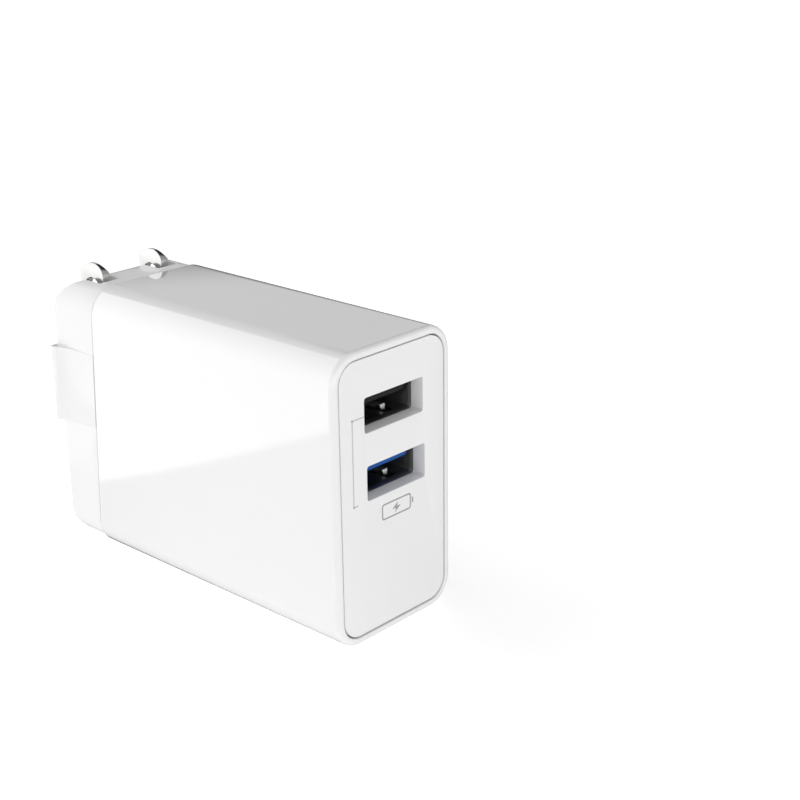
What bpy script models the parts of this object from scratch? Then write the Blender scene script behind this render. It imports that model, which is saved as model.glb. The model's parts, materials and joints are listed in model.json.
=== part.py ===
"""USB wall charger with two USB-A ports and a folding two-blade mains plug.

The frame has its origin at the middle of the underside. +X is to the right as seen from the ports,
+Y runs from the ports to the outlet side and +Z is up. Lengths here are in millimetres and are
turned into metres when a mesh is made. A depth is measured back from the front face, along +Y.
"""
import math

import bmesh
import bpy

MM = 0.001

# Driving dimensions of the case
BODY_WIDTH = 26.0
BODY_HEIGHT = 47.7
BODY_DEPTH = 67.33
BODY_RADIUS = 4.9
SLEEVE_WALL = 1.8
RIM_WALL = 1.32
RIM_FILLET = 0.9
SEAM_DEPTH_LOW = 59.0
SEAM_DEPTH_HIGH = 56.0
SEAM_GAP = 0.1
CORNER_STEPS = 8

# Front panel and its two ports
PANEL_INSET = 1.5
PANEL_RECESS = 0.12
PANEL_THICKNESS = 2.5
PORT_WIDTH = 13.0
PORT_HEIGHT = 5.6
PORT_RADIUS = 0.6
PORT_CENTERS = {"upper": (0.25, 37.2), "lower": (0.6, 26.2)}

# USB-A receptacles
SHELL_WIDTH = 13.1
SHELL_HEIGHT = 5.72
SHELL_SHEET = 0.3
SHELL_FRONT = 2.7
SHELL_LENGTH = 12.2
TONGUE_WIDTH = 11.1
TONGUE_THICKNESS = 1.75
TONGUE_LIFT = 0.3
TONGUE_FRONT = 3.0
CONTACT_PITCHES = (-3.5, -1.0, 1.0, 3.5)
CONTACT_WIDTH = 1.0
CONTACT_SHEET = 0.2
FINGER_WINDOW_X = 3.2
FINGER_WINDOW_WIDTH = 2.0
FINGER_WINDOW_SPAN = (2.0, 6.5)

# Rear cap
CAP_HALF_WIDTH = 12.72
CAP_LOW = 0.3
CAP_HIGH = 47.4
CAP_RADIUS = 4.8
CAP_REAR_RADIUS = 5.3
CAP_WALL = 1.7
SPIGOT_LENGTH = 3.0
SPIGOT_GAP = 0.15
GRIP_LOW = 22.6
GRIP_HIGH = 36.0
GRIP_NEAR = 12.95
GRIP_FAR = 14.1
GRIP_FLARE_START = 58.0
GRIP_FLARE_END = 66.7
GRIP_FLARE_POWER = 2.5

# Folding plug
BLADE_SPACING = 12.7
BLADE_WIDTH = 6.35
BLADE_THICKNESS = 1.52
BLADE_REACH = 20.3
BLADE_HOLE_RADIUS = 1.85
BLADE_HOLE_REACH = 15.85
BLADE_TIP_LENGTH = 1.42
BLADE_TIP_THICKNESS = 0.54
BLADE_TAIL = 3.7
BLADE_TAIL_HALF_WIDTH = 1.5
BLADE_SHOULDER = -0.9
SLOT_HALF_WIDTH = 2.18
SLOT_FRONT = 59.35
SLOT_LOW = 25.4
PIVOT_DEPTH = 63.45
PIVOT_HEIGHT = 29.45
HUB_REACH = 3.88
HUB_HALF_WIDTH = 2.03
SHAFT_RADIUS = 1.5
SHAFT_HALF_LENGTH = 9.5
SHAFT_GAP = 0.1
HUB_WINDOW_HALF_HEIGHT = 4.9
CAP_INNER_DEPTH = 57.9
LOWER_POCKET_HEIGHTS = (7.0, 23.7)
MIDDLE_POCKET_HALF_WIDTH = 3.0
MIDDLE_POCKET_HEIGHTS = (30.4, 44.0)

# Boards and the rails that hold the main board
BOARD_THICKNESS = 1.2
USB_BOARD_DEPTH = 15.2
USB_BOARD_HALF_WIDTH = 10.3
USB_BOARD_HEIGHTS = (5.0, 42.7)
MAIN_BOARD_X = -9.0
MAIN_BOARD_SPAN = (17.6, 52.6)
MAIN_BOARD_HEIGHTS = (6.0, 41.7)
COMPONENT_FACE_X = MAIN_BOARD_X + BOARD_THICKNESS / 2 + 0.1
RAIL_SPAN = (22.0, 52.0)
RAIL_HEIGHTS = {"low": (1.7, 6.9), "high": (40.8, 46.0)}
RAIL_GAP = 0.1

# Components: centres are X, depth, Z
TRANSFORMER_CENTER = (-1.7, 35.5, 23.0)
CORE_HALF = (4.9, 8.5, 9.0)
CORE_LEG = 2.6
INPUT_CAPACITOR_RADIUS = 4.0
INPUT_CAPACITOR_LENGTH = 15.0
INPUT_CAPACITOR_PLACES = ((-3.8, 37.5, 38.2), (5.2, 37.5, 38.2))
OUTPUT_CAPACITOR_RADIUS = 3.15
OUTPUT_CAPACITOR_LENGTH = 11.0
OUTPUT_CAPACITOR_PLACES = ((-4.6, 20.0, 38.0), (2.6, 20.0, 38.0))
Y_CAPACITOR_PLACE = (-3.6, 20.5, 27.0)
VARISTOR_PLACE = (-3.4, 51.6, 27.5)
FUSE_PLACE = (-5.6, 48.6, 12.4)
CHOKE_PLACE = (-3.4, 24.0, 8.6)
CHOKE_RING_RADIUS = 3.4


def y_at(depth):
    """The Y of a depth behind the front face."""
    return depth - BODY_DEPTH / 2


def seam_depth(height):
    """The seam between sleeve and cap leans forward towards the top."""
    return SEAM_DEPTH_LOW + (SEAM_DEPTH_HIGH - SEAM_DEPTH_LOW) * height / BODY_HEIGHT


PIVOT = (0.0, y_at(PIVOT_DEPTH), PIVOT_HEIGHT)


# ---------------------------------------------------------------- scene and materials

def clear_scene():
    for item in list(bpy.data.objects):
        bpy.data.objects.remove(item, do_unlink=True)


def make_material(name, color, roughness, metallic=0.0):
    material = bpy.data.materials.new(name)
    material.use_nodes = True
    shader = material.node_tree.nodes["Principled BSDF"]
    shader.inputs["Base Color"].default_value = (*color, 1.0)
    shader.inputs["Roughness"].default_value = roughness
    shader.inputs["Metallic"].default_value = metallic
    material.diffuse_color = (*color, 1.0)
    return material


MATERIAL_TABLE = {
    "white_gloss": ((0.90, 0.90, 0.91), 0.22, 0.0),
    "white_satin": ((0.88, 0.88, 0.89), 0.38, 0.0),
    "nickel": ((0.62, 0.60, 0.57), 0.30, 1.0),
    "steel": ((0.55, 0.55, 0.56), 0.35, 1.0),
    "copper": ((0.72, 0.36, 0.20), 0.35, 1.0),
    "brass": ((0.78, 0.60, 0.30), 0.32, 1.0),
    "aluminium": ((0.75, 0.75, 0.77), 0.40, 1.0),
    "black_plastic": ((0.02, 0.02, 0.02), 0.45, 0.0),
    "blue_plastic": ((0.02, 0.14, 0.48), 0.40, 0.0),
    "board_green": ((0.03, 0.22, 0.10), 0.50, 0.0),
    "ferrite": ((0.05, 0.05, 0.055), 0.60, 0.0),
    "yellow_film": ((0.85, 0.62, 0.10), 0.45, 0.0),
    "red_lacquer": ((0.60, 0.10, 0.06), 0.35, 0.0),
    "blue_lacquer": ((0.10, 0.25, 0.60), 0.35, 0.0),
    "black_wire": ((0.02, 0.02, 0.02), 0.55, 0.0),
    "white_wire": ((0.85, 0.85, 0.85), 0.55, 0.0),
}


# ---------------------------------------------------------------- outlines

def arc(center, radius, start, end, steps):
    """Points on an arc, angles in degrees."""
    points = []
    for i in range(steps + 1):
        angle = math.radians(start + (end - start) * i / steps)
        points.append((center[0] + radius * math.cos(angle), center[1] + radius * math.sin(angle)))
    return points


def circle(center, radius, steps):
    return arc(center, radius, 0.0, 360.0 * (steps - 1) / steps, steps - 1)


def rectangle(a_low, a_high, b_low, b_high):
    return [(a_low, b_low), (a_high, b_low), (a_high, b_high), (a_low, b_high)]


def rounded_rectangle(a_low, a_high, b_low, b_high, radius, steps=CORNER_STEPS):
    corners = (
        (a_high - radius, b_low + radius, -90.0),
        (a_high - radius, b_high - radius, 0.0),
        (a_low + radius, b_high - radius, 90.0),
        (a_low + radius, b_low + radius, 180.0),
    )
    points = []
    for a, b, start in corners:
        points += arc((a, b), radius, start, start + 90.0, steps)
    return points


def body_outline(inset):
    """The case's outline in XZ, moved inwards by inset."""
    half = BODY_WIDTH / 2 - inset
    return rounded_rectangle(-half, half, inset, BODY_HEIGHT - inset, BODY_RADIUS - inset)


# ---------------------------------------------------------------- solids

def skin(rings, ring_closes=False):
    """A closed solid through rings of equal point counts; a tube where the last ring meets the first."""
    mesh = bmesh.new()
    loops = [[mesh.verts.new(point) for point in ring] for ring in rings]
    pairs = list(zip(loops, loops[1:]))
    if ring_closes:
        pairs.append((loops[-1], loops[0]))
    for first, second in pairs:
        count = len(first)
        for i in range(count):
            j = (i + 1) % count
            mesh.faces.new((first[i], first[j], second[j], second[i]))
    if not ring_closes:
        mesh.faces.new(list(reversed(loops[0])))
        mesh.faces.new(loops[-1])
    bmesh.ops.recalc_face_normals(mesh, faces=mesh.faces)
    return mesh


def lift(outline, axis, level):
    """Place a flat outline at a level on the X, Y or Z axis."""
    if axis == "X":
        return [(level, a, b) for a, b in outline]
    if axis == "Y":
        return [(a, level, b) for a, b in outline]
    return [(a, b, level) for a, b in outline]


def prism(outline, axis, low, high):
    return skin([lift(outline, axis, low), lift(outline, axis, high)])


def block(x_low, x_high, y_low, y_high, z_low, z_high):
    return prism(rectangle(x_low, x_high, y_low, y_high), "Z", z_low, z_high)


def turned(profile, axis, steps=24):
    """A solid of revolution from (distance along the axis, radius) pairs."""
    return skin([lift(circle((0.0, 0.0), radius, steps), axis, along) for along, radius in profile])


def add(name, mesh, material, place=(0.0, 0.0, 0.0), sharp_angle=30.0):
    """Turn a mesh in millimetres into an object."""
    bmesh.ops.scale(mesh, vec=(MM, MM, MM), verts=mesh.verts)
    data = bpy.data.meshes.new(name)
    mesh.to_mesh(data)
    mesh.free()
    data.shade_smooth()
    data.set_sharp_from_angle(angle=math.radians(sharp_angle))
    item = bpy.data.objects.new(name, data)
    item.location = [value * MM for value in place]
    item.data.materials.append(material)
    bpy.context.scene.collection.objects.link(item)
    return item


def shape_with(target, operation, mesh, name):
    """Cut, join or trim a target with a tool mesh given in the target's own frame."""
    tool = add(f"{name}_tool", mesh, target.data.materials[0])
    tool.location = target.location
    tool.hide_render = True
    tool.display_type = "WIRE"
    modifier = target.modifiers.new(name, "BOOLEAN")
    modifier.operation = operation
    modifier.solver = "EXACT"
    modifier.object = tool


def cut(target, mesh, name):
    shape_with(target, "DIFFERENCE", mesh, name)


def join(target, mesh, name):
    shape_with(target, "UNION", mesh, name)


def wire(name, points, radius, material):
    """A round insulated lead along smooth points."""
    curve = bpy.data.curves.new(name, "CURVE")
    curve.dimensions = "3D"
    curve.bevel_depth = radius * MM
    curve.bevel_resolution = 2
    curve.use_fill_caps = True
    spline = curve.splines.new("POLY")
    smooth = smooth_route(points, 6)
    spline.points.add(len(smooth) - 1)
    for target, point in zip(spline.points, smooth):
        target.co = (*[value * MM for value in point], 1.0)
    item = bpy.data.objects.new(name, curve)
    curve.materials.append(material)
    bpy.context.scene.collection.objects.link(item)
    return item


def smooth_route(points, steps):
    """Points on a Catmull-Rom curve through the given points."""
    padded = [points[0], *points, points[-1]]
    route = []
    for i in range(len(points) - 1):
        before, start, end, after = padded[i:i + 4]
        for k in range(steps):
            t = k / steps
            route.append(tuple(
                0.5 * (2 * b + (c - a) * t + (2 * a - 5 * b + 4 * c - d) * t ** 2
                       + (3 * b - a - 3 * c + d) * t ** 3)
                for a, b, c, d in zip(before, start, end, after)
            ))
    route.append(points[-1])
    return route


# ---------------------------------------------------------------- case

def seam_ring(inset, offset):
    """A body outline whose points lie on the leaning seam, moved along depth by offset."""
    return [(x, y_at(seam_depth(z) + offset), z) for x, z in body_outline(inset)]


def make_main_sleeve(material):
    front = y_at(0.0)
    ledge = y_at(PANEL_RECESS + PANEL_THICKNESS + 0.05)
    rings = []
    for angle in (0.0, 30.0, 60.0, 90.0):
        inset = RIM_FILLET * (1.0 - math.sin(math.radians(angle)))
        setback = RIM_FILLET * (1.0 - math.cos(math.radians(angle)))
        rings.append(lift(body_outline(inset), "Y", front + setback))
    rings.append(seam_ring(0.0, 0.0))
    rings.append(seam_ring(SLEEVE_WALL, 0.0))
    rings.append(lift(body_outline(SLEEVE_WALL), "Y", ledge))
    rings.append(lift(body_outline(RIM_WALL), "Y", ledge))
    rings.append(lift(body_outline(RIM_WALL), "Y", front))
    sleeve = add("main_sleeve", skin(rings, ring_closes=True), material)
    board_low = MAIN_BOARD_X - BOARD_THICKNESS / 2 - RAIL_GAP
    board_high = MAIN_BOARD_X + BOARD_THICKNESS / 2 + RAIL_GAP
    edges = {"outer": (board_low - 0.65, board_low), "inner": (board_high, board_high + 0.7)}
    for side, heights in RAIL_HEIGHTS.items():
        for edge, (x_low, x_high) in edges.items():
            rail = block(x_low, x_high, y_at(RAIL_SPAN[0]), y_at(RAIL_SPAN[1]), *heights)
            join(sleeve, rail, f"rail_{side}_{edge}")
    return sleeve


def make_port_panel(material):
    front = y_at(PANEL_RECESS)
    back = front + PANEL_THICKNESS
    panel = add("port_panel", prism(body_outline(PANEL_INSET), "Y", front, back), material)
    half_w, half_h = PORT_WIDTH / 2, PORT_HEIGHT / 2
    for name, (x, z) in PORT_CENTERS.items():
        opening = rounded_rectangle(x - half_w, x + half_w, z - half_h, z + half_h, PORT_RADIUS, 3)
        cut(panel, prism(opening, "Y", front - 1.0, back + 1.0), f"opening_{name}")
    return panel


def cap_side_outline():
    """The cap from the side: square in front, rounded at the top and bottom of its rear face."""
    front = y_at(SEAM_DEPTH_HIGH - 10.0)
    arc_y = y_at(BODY_DEPTH - CAP_REAR_RADIUS)
    points = [(front, CAP_LOW - 2.0), (arc_y, CAP_LOW - 2.0)]
    points += arc((arc_y, CAP_LOW + CAP_REAR_RADIUS), CAP_REAR_RADIUS, -87.0, 0.0, 8)
    points += arc((arc_y, CAP_HIGH - CAP_REAR_RADIUS), CAP_REAR_RADIUS, 0.0, 87.0, 8)
    points += [(arc_y, CAP_HIGH + 2.0), (front, CAP_HIGH + 2.0)]
    return points


def grip_outline(side):
    """A side grip seen from above: it flares outwards in a hollow curve towards the rear."""
    inner = side * (CAP_HALF_WIDTH - 1.0)
    points = [(inner, y_at(BODY_DEPTH)), (inner, y_at(GRIP_FLARE_START))]
    steps = 8
    for i in range(steps + 1):
        share = i / steps
        depth = GRIP_FLARE_START + (GRIP_FLARE_END - GRIP_FLARE_START) * share
        reach = GRIP_NEAR + (GRIP_FAR - GRIP_NEAR) * share ** GRIP_FLARE_POWER
        points.append((side * reach, y_at(depth)))
    points.append((side * GRIP_FAR, y_at(BODY_DEPTH)))
    return points


def pivot_circle(radius, steps=32):
    return circle((PIVOT[1], PIVOT[2]), radius, steps)


def make_rear_cap(material):
    outline = rounded_rectangle(-CAP_HALF_WIDTH, CAP_HALF_WIDTH, CAP_LOW, CAP_HIGH, CAP_RADIUS)
    seam = [(x, y_at(seam_depth(z) + SEAM_GAP), z) for x, z in outline]
    cap = add("rear_cap", skin([seam, lift(outline, "Y", y_at(BODY_DEPTH))]), material)
    shape_with(cap, "INTERSECT", prism(cap_side_outline(), "X", -20.0, 20.0), "rear_rounding")
    for side, name in ((-1, "left"), (1, "right")):
        join(cap, prism(grip_outline(side), "Z", GRIP_LOW, GRIP_HIGH), f"grip_{name}")

    spigot_inset = SLEEVE_WALL + SPIGOT_GAP
    spigot = skin([seam_ring(spigot_inset, -SPIGOT_LENGTH), seam_ring(spigot_inset, 1.0)])
    join(cap, spigot, "spigot")
    hollow_inset = spigot_inset + CAP_WALL
    hollow = skin([
        seam_ring(hollow_inset, -SPIGOT_LENGTH - 1.0),
        lift(body_outline(hollow_inset), "Y", y_at(CAP_INNER_DEPTH)),
    ])
    cut(cap, hollow, "hollow")
    hollow_half = BODY_WIDTH / 2 - hollow_inset
    wall_depth = BODY_DEPTH - CAP_WALL
    pocket_front = y_at(CAP_INNER_DEPTH - 1.0)
    pockets = {
        "lower_pocket": (hollow_half, LOWER_POCKET_HEIGHTS),
        "middle_pocket": (MIDDLE_POCKET_HALF_WIDTH, MIDDLE_POCKET_HEIGHTS),
    }
    for name, (half, heights) in pockets.items():
        cut(cap, block(-half, half, pocket_front, y_at(wall_depth), *heights), name)

    blade_x = BLADE_SPACING / 2
    for side, name in ((-1, "left"), (1, "right")):
        x_low = side * blade_x - SLOT_HALF_WIDTH
        x_high = side * blade_x + SLOT_HALF_WIDTH
        slot_back = y_at(BODY_DEPTH + 2.0)
        slot = block(x_low, x_high, y_at(SLOT_FRONT), slot_back, SLOT_LOW, BODY_HEIGHT + 2.0)
        cut(cap, slot, f"slot_{name}")
        window = block(
            x_low + 0.02, x_high - 0.02, y_at(CAP_INNER_DEPTH - 0.5), y_at(SLOT_FRONT + 0.5),
            PIVOT_HEIGHT - HUB_WINDOW_HALF_HEIGHT + 0.85, PIVOT_HEIGHT + HUB_WINDOW_HALF_HEIGHT)
        cut(cap, window, f"hub_window_{name}")

    reach = SHAFT_HALF_LENGTH + 0.15
    cut(cap, prism(shaft_channel_outline(), "X", -reach, reach), "shaft_channel")
    return cap


def shaft_channel_outline():
    """From the side: a channel that is open to the front and ends round the shaft."""
    bearing = SHAFT_RADIUS + SHAFT_GAP
    channel_front = y_at(CAP_INNER_DEPTH - 0.5)
    points = [(channel_front, PIVOT_HEIGHT - bearing)]
    points += arc((PIVOT[1], PIVOT[2]), bearing, -90.0, 90.0, 12)
    points.append((channel_front, PIVOT_HEIGHT + bearing))
    return points


# ---------------------------------------------------------------- folding plug

def make_hinge_retainer(material):
    """A plate that holds the plug's shaft in the cap from inside."""
    gap = 0.1
    plate_front = y_at(CAP_INNER_DEPTH - 1.6)
    plate_back = y_at(CAP_INNER_DEPTH - gap)
    plate = block(-9.1, 9.1, plate_front, plate_back, 24.6, 35.4)
    retainer = add("hinge_retainer", plate, material)
    finger_half = SHAFT_RADIUS
    for name, x_low, x_high in (("left", -9.2, -8.65), ("middle", -3.8, 3.8), ("right", 8.65, 9.2)):
        finger = block(
            x_low, x_high, plate_front + 0.4, y_at(PIVOT_DEPTH - 0.4),
            PIVOT_HEIGHT - finger_half, PIVOT_HEIGHT + finger_half)
        join(retainer, finger, f"finger_{name}")
    blade_x = BLADE_SPACING / 2
    for side, name in ((-1, "left"), (1, "right")):
        plug_half = SLOT_HALF_WIDTH - 0.15
        plug = block(
            side * blade_x - plug_half, side * blade_x + plug_half,
            plate_back - 0.4, y_at(SLOT_FRONT - 0.05),
            PIVOT_HEIGHT - HUB_WINDOW_HALF_HEIGHT + 1.0, PIVOT_HEIGHT + HUB_WINDOW_HALF_HEIGHT - 0.15)
        join(retainer, plug, f"window_plug_{name}")
        passage = block(
            side * blade_x - 0.9, side * blade_x + 0.9, plate_front - 1.0, y_at(SLOT_FRONT + 1.0),
            PIVOT_HEIGHT - 1.2, PIVOT_HEIGHT + 1.2)
        cut(retainer, passage, f"contact_passage_{name}")
    cut(retainer, prism(pivot_circle(SHAFT_RADIUS + SHAFT_GAP), "X", -10.0, 10.0), "shaft_seat")
    return retainer


def hub_outline():
    """The hub from the side, folded: square above and to the rear, round about the pivot below."""
    points = [(HUB_REACH, 0.0), (HUB_REACH, HUB_REACH), (-HUB_REACH, HUB_REACH), (-HUB_REACH, 0.0)]
    points += arc((0.0, 0.0), HUB_REACH, 180.0, 360.0, 16)[1:-1]
    return points


def make_blade_carrier(material):
    """Two hubs on one shaft, in a frame whose origin is on the folding axis."""
    half = SHAFT_HALF_LENGTH
    shaft_outline = circle((0.0, 0.0), SHAFT_RADIUS, 24)
    carrier = add("blade_carrier", prism(shaft_outline, "X", -half, half), material, PIVOT)
    for side, name in ((-1, "left"), (1, "right")):
        center = side * BLADE_SPACING / 2
        hub = prism(hub_outline(), "X", center - HUB_HALF_WIDTH, center + HUB_HALF_WIDTH)
        join(carrier, hub, f"hub_{name}")
        slit_half = BLADE_THICKNESS / 2 + 0.05
        slit = block(
            center - slit_half, center + slit_half, -BLADE_WIDTH / 2 - 0.05, BLADE_WIDTH / 2 + 0.05,
            -1.0, HUB_REACH + 1.0)
        cut(carrier, slit, f"slit_{name}")
        tail_slit = block(center - slit_half, center + slit_half, -1.6, 1.6, -HUB_REACH - 1.0, -0.5)
        cut(carrier, tail_slit, f"tail_slit_{name}")
        join(carrier, prism(shaft_outline, "X", center - 1.0, center + 1.0), f"core_{name}")
    return carrier


def blade_outline():
    """A blade from the side, folded upright: wide with a curved tip, narrow where it passes the hub."""
    half = BLADE_WIDTH / 2
    tail = BLADE_TAIL_HALF_WIDTH
    tip_radius = (half ** 2 + BLADE_TIP_LENGTH ** 2) / (2 * BLADE_TIP_LENGTH)
    spread = math.degrees(math.asin(half / tip_radius))
    points = [(-tail, -BLADE_TAIL), (tail, -BLADE_TAIL), (tail, BLADE_SHOULDER), (half, BLADE_SHOULDER)]
    points += arc((0.0, BLADE_REACH - tip_radius), tip_radius, 90.0 - spread, 90.0 + spread, 12)
    points += [(-half, BLADE_SHOULDER), (-tail, BLADE_SHOULDER)]
    return points


def make_blade(name, side, material):
    half = BLADE_THICKNESS / 2
    center = side * BLADE_SPACING / 2
    place = (center, PIVOT[1], PIVOT[2])
    blade = add(name, prism(blade_outline(), "X", -half, half), material, place)
    hole = circle((0.0, BLADE_HOLE_REACH), BLADE_HOLE_RADIUS, 24)
    cut(blade, prism(hole, "X", -2.0, 2.0), f"{name}_hole")
    shaft_hole = circle((0.0, 0.0), SHAFT_RADIUS + SHAFT_GAP, 24)
    cut(blade, prism(shaft_hole, "X", -2.0, 2.0), f"{name}_shaft_hole")
    bevel_start = BLADE_REACH - BLADE_TIP_LENGTH
    slope = (BLADE_THICKNESS - BLADE_TIP_THICKNESS) / 2 / BLADE_TIP_LENGTH
    beyond = BLADE_REACH + 0.5
    for face, label in ((-1, "low"), (1, "high")):
        wedge = [
            (face * (half + 0.02), bevel_start),
            (face * (half + 1.0), bevel_start),
            (face * (half + 1.0), beyond),
            (face * (half - slope * (beyond - bevel_start)), beyond),
        ]
        cutter = skin([[(x, y, z) for x, z in wedge] for y in (-5.0, 5.0)])
        cut(blade, cutter, f"{name}_bevel_{label}")
    return blade


def make_contact_spring(name, side, material):
    """A bent strip on the retainer that reaches the blade's tail when the plug is out."""
    center = side * BLADE_SPACING / 2
    front = y_at(CAP_INNER_DEPTH - 2.1)
    sheet = 0.3
    tip = y_at(SLOT_FRONT + 0.1)
    profile = [
        (front, PIVOT_HEIGHT + 6.0), (front, PIVOT_HEIGHT - 0.5), (tip - 0.9, PIVOT_HEIGHT - 0.9),
        (tip, PIVOT_HEIGHT - 0.3), (tip, PIVOT_HEIGHT + 0.3), (tip - sheet, PIVOT_HEIGHT + 0.2),
        (tip - 1.0, PIVOT_HEIGHT - 0.4), (front + sheet, PIVOT_HEIGHT), (front + sheet, PIVOT_HEIGHT + 6.0),
    ]
    return add(name, prism(profile, "X", center - 0.75, center + 0.75), material)


def make_detent_spring(material):
    """A leaf that rubs on the shaft and holds the plug where it is put."""
    leaf_low = PIVOT_HEIGHT + SHAFT_RADIUS + 0.1
    sheet = 0.25
    tab_front = y_at(CAP_INNER_DEPTH + 0.1)
    tab_top = leaf_low + 3.6
    leaf_back = y_at(PIVOT_DEPTH + 1.6)
    profile = [
        (tab_front, leaf_low), (leaf_back, leaf_low), (leaf_back, leaf_low + sheet),
        (tab_front + sheet, leaf_low + sheet), (tab_front + sheet, tab_top), (tab_front, tab_top),
    ]
    return add("detent_spring", prism(profile, "X", -2.0, 2.0), material)


# ---------------------------------------------------------------- USB receptacles

def make_usb_shell(name, place, material):
    """A folded steel shell, open at the front, with two spring fingers cut in its lower wall."""
    half_w = SHELL_WIDTH / 2
    half_h = SHELL_HEIGHT / 2
    inner_w = half_w - SHELL_SHEET
    inner_h = half_h - SHELL_SHEET
    outer = rounded_rectangle(-half_w, half_w, -half_h, half_h, 0.5, 2)
    inner = rounded_rectangle(-inner_w, inner_w, -inner_h, inner_h, 0.25, 2)
    rings = [
        lift(outer, "Y", 0.0), lift(outer, "Y", SHELL_LENGTH),
        lift(inner, "Y", SHELL_LENGTH), lift(inner, "Y", 0.0),
    ]
    shell = add(name, skin(rings, ring_closes=True), material, place)
    for side, label in ((-1, "left"), (1, "right")):
        x_low = side * FINGER_WINDOW_X - FINGER_WINDOW_WIDTH / 2
        x_high = x_low + FINGER_WINDOW_WIDTH
        window = block(x_low, x_high, *FINGER_WINDOW_SPAN, -half_h - 0.5, -half_h + 0.5)
        cut(shell, window, f"{name}_window_{label}")
    return shell


def make_usb_tongue(name, place, material):
    """The insulating block at the back of a receptacle and the tongue that carries its contacts."""
    half_w = SHELL_WIDTH / 2 - SHELL_SHEET - 0.1
    half_h = SHELL_HEIGHT / 2 - SHELL_SHEET - 0.1
    back = SHELL_LENGTH - 0.1
    base = block(-half_w, half_w, back - 2.2, back, -half_h, half_h)
    tongue = add(name, base, material, place)
    half_tongue = TONGUE_WIDTH / 2
    plate = block(
        -half_tongue, half_tongue, TONGUE_FRONT - SHELL_FRONT, back - 1.0,
        TONGUE_LIFT, TONGUE_LIFT + TONGUE_THICKNESS)
    join(tongue, plate, f"{name}_plate")
    return tongue


def make_usb_contact(name, x, place, material):
    """A flat contact under the tongue."""
    top = TONGUE_LIFT - 0.05
    front = TONGUE_FRONT - SHELL_FRONT + 1.0
    strip = block(
        x - CONTACT_WIDTH / 2, x + CONTACT_WIDTH / 2, front, SHELL_LENGTH - 2.5, top - CONTACT_SHEET, top)
    return add(name, strip, material, place)


# ---------------------------------------------------------------- boards and components

def make_boards(material):
    half = USB_BOARD_HALF_WIDTH
    usb_board = prism(rounded_rectangle(-half, half, *USB_BOARD_HEIGHTS, 1.5, 3), "Y", 0.0, BOARD_THICKNESS)
    add("usb_board", usb_board, material, (0.0, y_at(USB_BOARD_DEPTH), 0.0))
    low, high = MAIN_BOARD_SPAN
    main_board = block(
        MAIN_BOARD_X - BOARD_THICKNESS / 2, MAIN_BOARD_X + BOARD_THICKNESS / 2,
        y_at(low), y_at(high), *MAIN_BOARD_HEIGHTS)
    add("main_board", main_board, material)


def place_at(center):
    """A component's centre given as X, depth and Z."""
    x, depth, z = center
    return (x, y_at(depth), z)


def core_outline():
    """Half of an E core seen along X: a back, two outer legs and a middle leg."""
    half_y, half_z = CORE_HALF[1], CORE_HALF[2]
    back = -half_y + CORE_LEG
    face = -0.06
    return [
        (-half_y, -half_z), (face, -half_z), (face, -half_z + CORE_LEG), (back, -half_z + CORE_LEG),
        (back, -CORE_LEG), (face, -CORE_LEG), (face, CORE_LEG), (back, CORE_LEG),
        (back, half_z - CORE_LEG), (face, half_z - CORE_LEG), (face, half_z), (-half_y, half_z),
    ]


def make_transformer(materials):
    for name, direction in (("transformer_core_front", 1), ("transformer_core_rear", -1)):
        outline = [(direction * y, z) for y, z in core_outline()]
        core = prism(outline, "X", -CORE_HALF[0], CORE_HALF[0])
        add(name, core, materials["ferrite"], place_at(TRANSFORMER_CENTER))
    gap = 0.12
    window = CORE_HALF[1] - CORE_LEG - gap
    tube_x = CORE_HALF[0] + gap
    tube_z = CORE_LEG + gap
    wall = 0.6
    flange_z = CORE_HALF[2] - CORE_LEG - gap
    inner = rectangle(-tube_x, tube_x, -tube_z, tube_z)
    thick = rectangle(-tube_x - wall, tube_x + wall, -tube_z - wall, tube_z + wall)
    flange = rectangle(-tube_x - wall - 0.9, tube_x + wall + 0.9, -flange_z, flange_z)
    sections = (
        (inner, -window), (flange, -window), (flange, -window + wall), (thick, -window + wall),
        (thick, window - wall), (flange, window - wall), (flange, window), (inner, window),
    )
    bobbin = skin([lift(outline, "Y", level) for outline, level in sections], ring_closes=True)
    add("transformer_bobbin", bobbin, materials["black_plastic"], place_at(TRANSFORMER_CENTER))
    coil_gap = 0.1
    reach = window - wall - coil_gap
    inner_x = tube_x + wall + coil_gap
    inner_z = tube_z + wall + coil_gap
    outer_x = tube_x + wall + 0.8
    outer_z = flange_z - coil_gap
    coil_inner = rounded_rectangle(-inner_x, inner_x, -inner_z, inner_z, 0.1, 2)
    coil_outer = rounded_rectangle(-outer_x, outer_x, -outer_z, outer_z, 0.8, 2)
    winding = skin([
        lift(coil_inner, "Y", -reach), lift(coil_outer, "Y", -reach),
        lift(coil_outer, "Y", reach), lift(coil_inner, "Y", reach),
    ], ring_closes=True)
    add("transformer_winding", winding, materials["yellow_film"], place_at(TRANSFORMER_CENTER))


def make_capacitor(name, radius, length, place, material):
    """An upright can with a crimped neck near its leads, lying along Y."""
    neck = 0.35
    profile = (
        (0.0, radius - neck), (0.5, radius), (1.2, radius), (1.6, radius - neck), (2.0, radius),
        (length - 0.5, radius), (length, radius - 0.5),
    )
    return add(name, turned(profile, "Y", 20), material, place)


def make_disc(name, radius, thickness, place, material):
    """A dipped disc, flat faces along Y."""
    half = thickness / 2
    profile = ((-half, radius - 0.7), (-half * 0.5, radius), (half * 0.5, radius), (half, radius - 0.7))
    return add(name, turned(profile, "Y", 20), material, place)


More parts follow.
